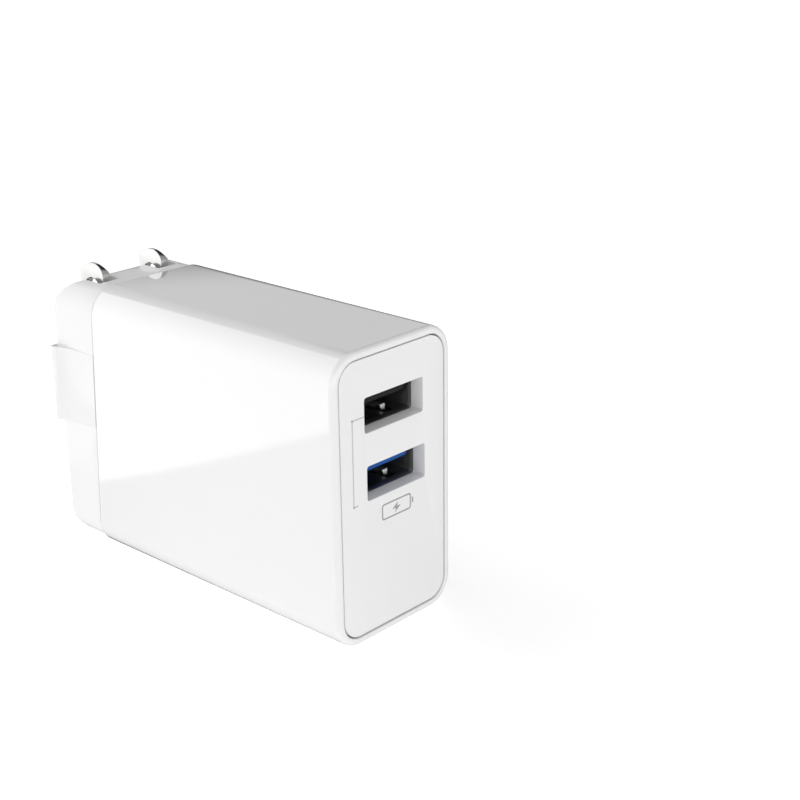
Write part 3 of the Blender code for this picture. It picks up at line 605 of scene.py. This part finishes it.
def cap_section(depth_y):
    """The cap's outer section at one Y: a rounded rectangle cut down by the rear rounding, corners eased."""
    run = max(0.0, depth_y - (REAR - CAP_REAR_RADIUS))
    drop = CAP_REAR_RADIUS - math.sqrt(max(0.0, CAP_REAR_RADIUS ** 2 - run ** 2))
    edge_run = max(0.0, depth_y - (REAR - CAP_FILLET))
    side_inset = CAP_FILLET - math.sqrt(max(0.0, CAP_FILLET ** 2 - edge_run ** 2))
    half = CAP_HALF_WIDTH - side_inset - CAP_FILLET
    radius = CAP_RADIUS - CAP_FILLET
    middle = (CAP_BOTTOM + CAP_TOP) / 2
    half_height = (CAP_TOP - CAP_BOTTOM) / 2 - CAP_FILLET
    limit = half_height - drop
    points = []
    for quarter, (side_x, side_z) in enumerate(((1, -1), (1, 1), (-1, 1), (-1, -1))):
        for i in range(CORNER_STEPS + 1):
            angle = math.radians(90.0 * (quarter - 1 + i / CORNER_STEPS))
            x = half - radius + radius * abs(math.cos(angle))
            z = half_height - radius + radius * abs(math.sin(angle))
            if z > limit:
                lift_z = limit - (half_height - radius)
                x = half - radius + math.sqrt(max(0.0, radius ** 2 - max(0.0, lift_z) ** 2))
                z = limit
            points.append((
                side_x * x + CAP_FILLET * math.cos(angle),
                depth_y,
                middle + side_z * z + CAP_FILLET * math.sin(angle),
            ))
    return points


def cap_edge_ring(inset, offset):
    """The cap's outline on the leaning seam, drawn in towards its middle and moved back."""
    middle = (CAP_BOTTOM + CAP_TOP) / 2
    across = 1.0 - inset / CAP_HALF_WIDTH
    upright = 1.0 - inset / (CAP_TOP - middle)
    return [
        (x * across, seam_y(z) + SEAM_GAP + offset, middle + (z - middle) * upright)
        for x, _, z in cap_section(SEAM_LOW)]


def cap_body():
    """The cap's outer solid, from the seam to the rear face."""
    rings = []
    for inset, offset in arc((CAP_EDGE, CAP_EDGE), CAP_EDGE, -90.0, -180.0, 5):
        rings.append(cap_edge_ring(inset, offset))
    last_angle = 85.0
    for i in range(15):
        angle = math.radians(last_angle * i / 14)
        rings.append(cap_section(REAR - CAP_REAR_RADIUS * (1.0 - math.sin(angle))))
    last = CAP_REAR_RADIUS * (1.0 - math.sin(math.radians(last_angle)))
    for share in (0.55, 0.2, 0.04, 0.0):
        rings.append(cap_section(REAR - last * share))
    return skin(rings)


def grip_outline(side, inset, height):
    """A side grip at one height: a hollow flare from the seam to a narrow rim at the rear face."""
    root = side * GRIP_ROOT
    start = seam_y(height) + SEAM_GAP
    end = REAR - 0.01
    points = [(root, end), (root, start)]
    flare_end = REAR - GRIP_RIM
    for i in range(GRIP_STEPS + 1):
        share = i / GRIP_STEPS
        reach = GRIP_NEAR + (GRIP_REACH - GRIP_NEAR) * share ** GRIP_POWER
        points.append((side * (reach - inset), start + (flare_end - start) * share))
    corner = (GRIP_REACH - GRIP_RIM_FILLET - inset, end - GRIP_RIM_FILLET)
    for a, b in arc(corner, GRIP_RIM_FILLET, 0.0, 90.0, 5):
        points.append((side * a, b))
    return points


def make_cap(material):
    """The hollow cap with grips, spigot, pockets, blade slots, hub windows and the shaft's channel."""
    cap = to_object("cap_shell", cap_body(), material)
    for side in (-1, 1):
        rings = [
            lift(grip_outline(side, inset, level), "Z", level)
            for level, inset in edge_rounding(GRIP_BOTTOM, GRIP_TOP, GRIP_EDGE, 4)
        ]
        boolean(cap, "UNION", skin(rings))
    boolean(cap, "UNION", skin([seam_ring(SPIGOT_INSET, -SPIGOT_LENGTH), seam_ring(SPIGOT_INSET, 1.0)]))
    inner = SPIGOT_INSET + CAP_WALL
    hollow = skin([seam_ring(inner, -SPIGOT_LENGTH - 1.0), lift(body_outline(inner), "Y", CAP_INNER_Y)])
    boolean(cap, "DIFFERENCE", hollow)
    wall_y = REAR - CAP_WALL
    for half, (bottom, top) in (
        (HALF_WIDTH - inner, LOWER_POCKET_Z),
        (UPPER_POCKET_HALF_WIDTH, UPPER_POCKET_Z),
    ):
        boolean(cap, "DIFFERENCE", block(-half, half, CAP_INNER_Y - 1.0, wall_y, bottom, top))
    for side in (-1, 1):
        center = side * BLADE_X
        low, high = center - SLOT_HALF_WIDTH, center + SLOT_HALF_WIDTH
        boolean(cap, "DIFFERENCE", block(low, high, SLOT_FRONT_Y, REAR + 2.0, SLOT_BOTTOM, HEIGHT + 2.0))
        boolean(cap, "DIFFERENCE", slot_flare(center))
        window = block(
            low + WINDOW_MARGIN, high - WINDOW_MARGIN,
            CAP_INNER_Y - CUT_OVERRUN, SLOT_FRONT_Y + CUT_OVERRUN, WINDOW_BOTTOM, WINDOW_TOP)
        boolean(cap, "DIFFERENCE", window)
    channel_front = CAP_INNER_Y - CUT_OVERRUN
    channel = [(channel_front, PIVOT.z - BEARING_RADIUS)]
    channel += arc((PIVOT.y, PIVOT.z), BEARING_RADIUS, -90.0, 90.0, 20)
    channel.append((channel_front, PIVOT.z + BEARING_RADIUS))
    reach = SHAFT_HALF_LENGTH + BEARING_END_GAP
    boolean(cap, "DIFFERENCE", prism(channel, "X", -reach, reach))
    return cap


def slot_path():
    """Stations along the cap's surface from the slot's foot, up the rear face and over the top."""
    stations = []
    for share in (0.0, 0.4, 0.75, 1.0):
        stations.append(((REAR, SLOT_BOTTOM - SLOT_FILLET * (1.0 - share)), 0.0, share))
    arc_y = REAR - CAP_REAR_RADIUS
    arc_z = CAP_TOP - CAP_REAR_RADIUS
    for i in range(17):
        angle = 90.0 * i / 16
        radians = math.radians(angle)
        point = (arc_y + CAP_REAR_RADIUS * math.cos(radians), arc_z + CAP_REAR_RADIUS * math.sin(radians))
        stations.append((point, angle, 1.0))
    for share in (1.0, 0.75, 0.4, 0.0):
        stations.append(((SLOT_FRONT_Y - SLOT_FILLET * (1.0 - share), CAP_TOP), 90.0, share))
    return stations


def slot_flare(center):
    """A cutter that rounds a slot's outer edges: a flared groove swept along the cap's surface."""
    deep = 0.7
    profile = [(-SLOT_HALF_WIDTH + 0.03, -deep), (SLOT_HALF_WIDTH - 0.03, -deep)]
    for i in range(5):
        angle = math.radians(90.0 * i / 4)
        profile.append((
            SLOT_HALF_WIDTH + SLOT_FILLET * (1.0 - math.cos(angle)),
            -SLOT_FILLET * (1.0 - math.sin(angle)),
        ))
    profile.append((SLOT_HALF_WIDTH + SLOT_FILLET, 0.6))
    profile += [(-across, height) for across, height in reversed(profile[2:])]
    rings = []
    for (y, z), angle, share in slot_path():
        radians = math.radians(angle)
        normal_y, normal_z = math.cos(radians), math.sin(radians)
        squeeze = 1.0 - math.sqrt(max(0.0, 1.0 - share ** 2)) if share < 1.0 else 1.0
        ring = []
        for across, height in profile:
            height = height * max(squeeze, 0.02) if height < 0.0 else height
            ring.append((center + across, y + normal_y * height, z + normal_z * height))
        rings.append(ring)
    return skin(rings)


# ---------------------------------------------------------------- plug

def hub_outline(inset):
    """The hub from the side, folded, moved inwards: square above, round about the pivot below."""
    reach = HUB_REACH - inset
    corner = max(HUB_FILLET - inset, 0.02)
    points = arc((0.0, 0.0), reach, 180.0, 360.0, 28)
    points += arc((reach - corner, reach - corner), corner, 0.0, 90.0, 5)
    points += arc((-reach + corner, reach - corner), corner, 90.0, 180.0, 5)
    return [(PIVOT.y + a, PIVOT.z + b) for a, b in points]


def shaft(radius, low, high):
    """A cylinder round the pivot's axis."""
    return prism(circle((PIVOT.y, PIVOT.z), radius, 48), "X", low, high)


def make_carrier(material):
    """The shaft with two hubs, each slit for its blade."""
    carrier = to_object("plug_carrier", shaft(SHAFT_RADIUS, -SHAFT_HALF_LENGTH, SHAFT_HALF_LENGTH), material)
    slit = BLADE_HALF_THICKNESS + BLADE_FIT
    for side in (-1, 1):
        center = side * BLADE_X
        levels = edge_rounding(center - HUB_HALF_WIDTH, center + HUB_HALF_WIDTH, HUB_SIDE_FILLET, 4)
        boolean(carrier, "UNION", skin([lift(hub_outline(inset), "X", level) for level, inset in levels]))
        for half, bottom, top in (
            (BLADE_HALF_WIDTH + BLADE_FIT, -1.0, HUB_REACH + 1.0),
            (BLADE_TAIL_HALF_WIDTH + 0.1, -HUB_REACH - 1.0, -0.5),
        ):
            boolean(carrier, "DIFFERENCE", block(
                center - slit, center + slit,
                PIVOT.y - half, PIVOT.y + half,
                PIVOT.z + bottom, PIVOT.z + top))
        boolean(carrier, "UNION", shaft(SHAFT_RADIUS, center - 1.0, center + 1.0))
    return carrier


def blade_section(reach):
    """Half width and half thickness of the blade's tip at one distance from the pivot."""
    tip_radius = (BLADE_HALF_WIDTH ** 2 + BLADE_TIP_LENGTH ** 2) / (2 * BLADE_TIP_LENGTH)
    rise = reach - (BLADE_REACH - tip_radius)
    half_width = math.sqrt(max(0.0, tip_radius ** 2 - rise ** 2))
    share = (reach - (BLADE_REACH - BLADE_TIP_LENGTH)) / BLADE_TIP_LENGTH
    half_thickness = BLADE_HALF_THICKNESS + (BLADE_TIP_HALF_THICKNESS - BLADE_HALF_THICKNESS) * share
    return min(half_width, BLADE_HALF_WIDTH), half_thickness


def blade_ring(center, reach, half_width, half_thickness):
    """The blade's section at one distance from the pivot, its edges rounded."""
    fillet = min(BLADE_EDGE, half_thickness * 0.35, half_width * 0.5)
    outline = rounded_rectangle(
        center - half_thickness, center + half_thickness,
        PIVOT.y - half_width, PIVOT.y + half_width, fillet, 4)
    return lift(outline, "Z", PIVOT.z + reach)


def make_blade(name, side, material):
    """A blade with its tail, the collar in front of the hub, a bevelled round tip and a flared hole."""
    center = side * BLADE_X
    tail_half = BLADE_TAIL_HALF_WIDTH
    collar_low = HUB_REACH + 0.03
    collar_high = collar_low + COLLAR_HEIGHT
    thick = BLADE_HALF_THICKNESS
    wide = BLADE_HALF_WIDTH
    margin = COLLAR_MARGIN
    stations = [
        (-BLADE_TAIL, tail_half, thick),
        (BLADE_TAIL_TOP - 0.05, tail_half, thick),
        (BLADE_TAIL_TOP, wide, thick),
        (collar_low, wide, thick),
        (collar_low + 0.02, wide + margin, thick + margin),
        (collar_high - 0.2, wide + margin, thick + margin),
        (collar_high, wide, thick),
    ]
    bevel_start = BLADE_REACH - BLADE_TIP_LENGTH
    for i in range(17):
        reach = bevel_start + BLADE_TIP_LENGTH * math.sin(math.radians(89.0 * i / 16))
        stations.append((reach, *blade_section(reach)))
    blade = to_object(name, skin([blade_ring(center, *station) for station in stations]), material, 20.0)
    hole_z = PIVOT.z + BLADE_HOLE_REACH
    flare = BLADE_HOLE_FLARE
    outside = 3.0
    wide_end = flare + outside - thick
    levels = ((-outside, wide_end), (-thick + flare, 0.0), (thick - flare, 0.0), (outside, wide_end))
    hole = skin([
        lift(circle((PIVOT.y, hole_z), BLADE_HOLE_RADIUS + extra, 48), "X", center + level)
        for level, extra in levels
    ])
    boolean(blade, "DIFFERENCE", hole, 20.0)
    boolean(blade, "DIFFERENCE", shaft(SHAFT_RADIUS + 0.1, center - 2.0, center + 2.0), 20.0)
    return blade


# ---------------------------------------------------------------- receptacles

def make_shell(port, material):
    """A folded steel shell with a flared mouth and windows for its spring fingers."""
    low, high = box_mm(f"usb_shell_{port}")
    center_x, center_z = port_center(port)
    half_w, half_h = (high.x - low.x) / 2, (high.z - low.z) / 2

    def outline(inset):
        radius = max(SHELL_RADIUS - inset, 0.2)
        return rounded_rectangle(
            center_x - half_w + inset, center_x + half_w - inset,
            center_z - half_h + inset, center_z + half_h - inset, radius, 5)

    stations = (
        (0.0, low.y), (0.0, high.y), (SHELL_SHEET, high.y), (SHELL_SHEET, low.y + 0.7),
        (SHELL_SHEET * 0.55, low.y + 0.3), (0.06, low.y),
    )
    rings = [lift(outline(inset), "Y", level) for inset, level in stations]
    shell = to_object(f"port_shell_{port}", skin(rings, ring_closes=True), material)
    for side in (-1, 1):
        for face in (-1, 1):
            x = center_x + side * FINGER_X
            wall = center_z + face * half_h
            opening = [
                (x - FINGER_GAP_TIP, low.y + FINGER_TIP), (x + FINGER_GAP_TIP, low.y + FINGER_TIP),
                (x + FINGER_GAP_ROOT, low.y + FINGER_ROOT), (x - FINGER_GAP_ROOT, low.y + FINGER_ROOT)]
            boolean(shell, "DIFFERENCE", prism(opening, "Z", wall - 0.6, wall + 0.6))
    return shell


def make_fingers(port, material):
    """Four spring fingers that bow into the opening from the shell's lower and upper walls."""
    low, high = box_mm(f"usb_shell_{port}")
    center_x, center_z = port_center(port)
    half_h = (high.z - low.z) / 2
    fingers = bmesh.new()
    for side in (-1, 1):
        for face in (-1, 1):
            x = center_x + side * FINGER_X
            rings = []
            for along, bow, half in FINGER_STATIONS:
                outer = center_z + face * (half_h - SHELL_SHEET - 0.02 - bow)
                inner = outer + face * FINGER_SHEET
                section = [(x - half, outer), (x + half, outer), (x + half, inner), (x - half, inner)]
                rings.append(lift(section, "Y", low.y + along))
            append_mesh(fingers, skin(rings))
    return to_object(f"port_fingers_{port}", fingers, material, 20.0)


def make_tongue(port, material):
    """The insulator with its rounded tongue in front."""
    low, high = box_mm(f"usb_tongue_{port}")
    center_x, _ = port_center(port)
    contact_top = box_mm(f"usb_contact_{port}_1")[1].z
    plate_low = contact_top + 0.05
    plate_high = plate_low + TONGUE_THICKNESS
    half = TONGUE_WIDTH / 2
    base_front = high.y - TONGUE_BASE_LENGTH
    rings = []
    for along, inset in (*TONGUE_NOSE, (base_front + 0.5 - low.y, 0.0)):
        outline = rounded_rectangle(
            center_x - half + inset, center_x + half - inset, plate_low + inset, plate_high - inset, 0.2, 4)
        rings.append(lift(outline, "Y", low.y + along))
    tongue = to_object(f"port_tongue_{port}", skin(rings), material)
    boolean(tongue, "UNION", soft_block(low.x, high.x, base_front, high.y, low.z, high.z, 0.15))
    return tongue


def make_contact(port, number, material):
    """A contact strip with a rounded nose and a shallow bow."""
    low, high = box_mm(f"usb_contact_{port}_{number}")
    half = (high.x - low.x) / 2
    center = (high.x + low.x) / 2
    length = high.y - low.y
    rings = []
    for share, width, rise in CONTACT_STATIONS:
        bottom = low.z + rise
        left, right = center - half * width, center + half * width
        section = [(left, bottom), (right, bottom), (right, high.z), (left, high.z)]
        rings.append(lift(section, "Y", low.y + length * share))
    return to_object(f"port_contact_{port}_{number}", skin(rings), material, 25.0)


# ---------------------------------------------------------------- print on the panel

def ink_shape(outline):
    """A flat printed shape on the panel's front, from its outline in XZ."""
    return prism(outline, "Y", PANEL_FRONT - INK_THICKNESS, PANEL_FRONT + INK_THICKNESS)


def ink_strip(points, width):
    """A printed line through points in XZ on the panel's front."""
    parts = bmesh.new()
    for (x0, z0), (x1, z1) in zip(points, points[1:]):
        along = Vector((x1 - x0, z1 - z0)).normalized() * width / 2
        across = Vector((-along.y, along.x))
        append_mesh(parts, ink_shape([
            (x0 - along.x + across.x, z0 - along.y + across.y),
            (x0 - along.x - across.x, z0 - along.y - across.y),
            (x1 + along.x - across.x, z1 + along.y - across.y),
            (x1 + along.x + across.x, z1 + along.y + across.y),
        ]))
    return parts


def make_bracket_line(material):
    """The thin line that leads from the upper port down the panel's left side."""
    port_x, port_z = port_center("upper")
    points = [
        (port_x - PORT_WIDTH / 2 - PORT_FILLET - 0.1, port_z),
        (BRACKET_LEFT, port_z),
        (BRACKET_LEFT, BRACKET_BOTTOM),
        (BRACKET_LEFT + BRACKET_FOOT, BRACKET_BOTTOM),
    ]
    return to_object("printed_line", ink_strip(points, LINE_WIDTH), material)


def make_charge_icon(material):
    """A plain battery outline with a charge bolt, in place of the printed text."""
    center_x, center_z = ICON_CENTER
    half_w, half_h = ICON_HALF_SIZE
    outer, inner = [
        rounded_rectangle(
            center_x - half_w + inset, center_x + half_w - inset,
            center_z - half_h + inset, center_z + half_h - inset, radius, 6)
        for inset, radius in ((0.0, ICON_RADIUS), (ICON_STROKE, ICON_INNER_RADIUS))
    ]
    front, back = PANEL_FRONT - INK_THICKNESS, PANEL_FRONT + INK_THICKNESS
    sides = ((outer, front), (outer, back), (inner, back), (inner, front))
    icon = skin([lift(outline, "Y", level) for outline, level in sides], ring_closes=True)
    nub_x = center_x + half_w + ICON_NUB_GAP
    append_mesh(icon, ink_shape([(nub_x + a, center_z + b) for a, b in ICON_NUB]))
    append_mesh(icon, ink_shape([(center_x + a, center_z + b) for a, b in ICON_BOLT]))
    return to_object("charge_icon", icon, material)


# ---------------------------------------------------------------- scene

def add_camera():
    camera = bpy.data.objects.new("camera", bpy.data.cameras.new("camera"))
    bpy.context.scene.collection.objects.link(camera)
    camera.data.lens = CAMERA_LENS
    camera.data.sensor_width = CAMERA_SENSOR
    camera.data.clip_start = 0.01
    azimuth = math.radians(CAMERA_AZIMUTH)
    elevation = math.radians(CAMERA_ELEVATION)
    roll = math.radians(CAMERA_ROLL)
    forward = Vector((
        -math.sin(azimuth) * math.cos(elevation),
        math.cos(azimuth) * math.cos(elevation),
        -math.sin(elevation)))
    right = forward.cross(Vector((0.0, 0.0, 1.0))).normalized()
    up = right.cross(forward)
    rolled_right = right * math.cos(roll) + up * math.sin(roll)
    rolled_up = rolled_right.cross(forward)
    location = Vector(CAMERA_PLACE) * MM
    rotation = Matrix((rolled_right, rolled_up, -forward)).transposed()
    camera.matrix_world = Matrix.Translation(location) @ rotation.to_4x4()
    bpy.context.scene.camera = camera


def world_value(world, operation, *operands):
    """A maths node in the world; operands are numbers or sockets."""
    node = world.node_tree.nodes.new("ShaderNodeMath")
    node.operation = operation
    for socket, operand in zip(node.inputs, operands):
        if isinstance(operand, (int, float)):
            socket.default_value = operand
        else:
            world.node_tree.links.new(operand, socket)
    return node.outputs["Value"]


def world_ramp(world, value, start, end, low=0.0, high=1.0):
    """A smooth ramp from low to high as the value goes from start to end."""
    node = world.node_tree.nodes.new("ShaderNodeMapRange")
    node.interpolation_type = "SMOOTHSTEP"
    node.inputs["From Min"].default_value = start
    node.inputs["From Max"].default_value = end
    node.inputs["To Min"].default_value = low
    node.inputs["To Max"].default_value = high
    world.node_tree.links.new(value, node.inputs["Value"])
    return node.outputs["Result"]


def world_along(world, direction):
    """How far a ray's direction points along the given one, from -1 to 1."""
    coordinates = world.node_tree.nodes.new("ShaderNodeTexCoord")
    node = world.node_tree.nodes.new("ShaderNodeVectorMath")
    node.operation = "DOT_PRODUCT"
    node.inputs[1].default_value = Vector(direction).normalized()
    world.node_tree.links.new(coordinates.outputs["Generated"], node.inputs[0])
    return node.outputs["Value"]


def add_studio():
    """Soft surroundings: an even dome, a band round the horizon that is brightest in front, a large softbox
    behind on the left, and two dark screens behind on the right, one high and one low."""
    world = bpy.data.worlds.new("studio")
    world.use_nodes = True
    height = world_along(world, UP)
    band = world_value(
        world, "MULTIPLY", world_ramp(world, height, *BAND_FOOT), world_ramp(world, height, *BAND_TOP))
    front = world_ramp(world, world_along(world, FRONT_SIDE), *FRONT_EDGE, BAND, BAND + FRONT_EXTRA)
    box = world_ramp(world, world_along(world, SOFTBOX_SIDE), *SOFTBOX_SIDE_EDGE)
    for value in (
        world_ramp(world, world_along(world, SOFTBOX_ABOVE), *SOFTBOX_LOWER_EDGE),
        world_ramp(world, world_along(world, SOFTBOX_BACK), *SOFTBOX_BACK_EDGE),
        world_ramp(world, height, *SOFTBOX_RISE, SOFTBOX_LOW, SOFTBOX_HIGH),
    ):
        box = world_value(world, "MULTIPLY", box, value)
    high = world_ramp(world, world_along(world, HIGH_SCREEN), *HIGH_SCREEN_EDGE, 1.0, HIGH_SCREEN_LEVEL)
    low = world_ramp(world, world_along(world, LOW_SCREEN), *LOW_SCREEN_EDGE)
    low = world_value(world, "MULTIPLY", low, world_ramp(world, height, *LOW_SCREEN_TOP))
    low = world_value(world, "SUBTRACT", 1.0, world_value(world, "MULTIPLY", low, LOW_SCREEN_DIP))
    total = world_value(world, "MULTIPLY", band, front)
    for operation, value in (("ADD", DOME), ("MULTIPLY", low), ("MULTIPLY", high), ("ADD", box)):
        total = world_value(world, operation, total, value)
    background = world.node_tree.nodes["Background"]
    background.inputs["Color"].default_value = (1.0, 1.0, 1.0, 1.0)
    world.node_tree.links.new(total, background.inputs["Strength"])
    bpy.context.scene.world = world
    bpy.context.scene.view_settings.view_transform = "Standard"


def add_floor():
    """A plain pale floor that the object's glossy faces do not mirror."""
    mesh = bmesh.new()
    bmesh.ops.create_grid(mesh, x_segments=1, y_segments=1, size=FLOOR_HALF_SIZE)
    data = bpy.data.meshes.new("floor")
    mesh.to_mesh(data)
    mesh.free()
    floor = bpy.data.objects.new("floor", data)
    bpy.context.scene.collection.objects.link(floor)
    material, shader = new_material("floor_white", (0.93, 0.93, 0.93), 0.7)
    shader.inputs["Emission Color"].default_value = (1.0, 1.0, 1.0, 1.0)
    shader.inputs["Emission Strength"].default_value = FLOOR_GLOW
    data.materials.append(material)
    floor.visible_glossy = False


def main():
    add_camera()
    add_floor()
    add_studio()
    materials = make_materials()
    place(make_sleeve(materials["case_gloss"]), "case", "main_sleeve")
    place(make_panel(materials["panel_satin"]), "case", "port_panel")
    place(make_cap(materials["cap_satin"]), "case", "rear_cap")
    place(make_carrier(materials["cap_satin"]), "plug", "blade_carrier")
    for name, side in (("left", -1), ("right", 1)):
        blade = make_blade(f"plated_blade_{name}", side, materials["nickel"])
        place(blade, "plug", f"blade_{name}")
    for port, tongue_slot in (("upper", "black_plastic"), ("lower", "blue_plastic")):
        place(make_shell(port, materials["steel"]), "case", f"usb_shell_{port}")
        place(make_fingers(port, materials["spring"]), "case", None)
        place(make_tongue(port, materials[tongue_slot]), "case", f"usb_tongue_{port}")
        for number in range(1, 5):
            contact = make_contact(port, number, materials["brass"])
            place(contact, "case", f"usb_contact_{port}_{number}")
    place(make_bracket_line(materials["print_light"]), "case", None)
    place(make_charge_icon(materials["print"]), "case", None)

    slot_of = {entry["node"]: entry["material_slot"] for entry in frame["record"]["subparts"]}
    for name, node in frame["nodes"].items():
        node.data.materials.clear()
        node.data.materials.append(materials[slot_of[name]])


main()
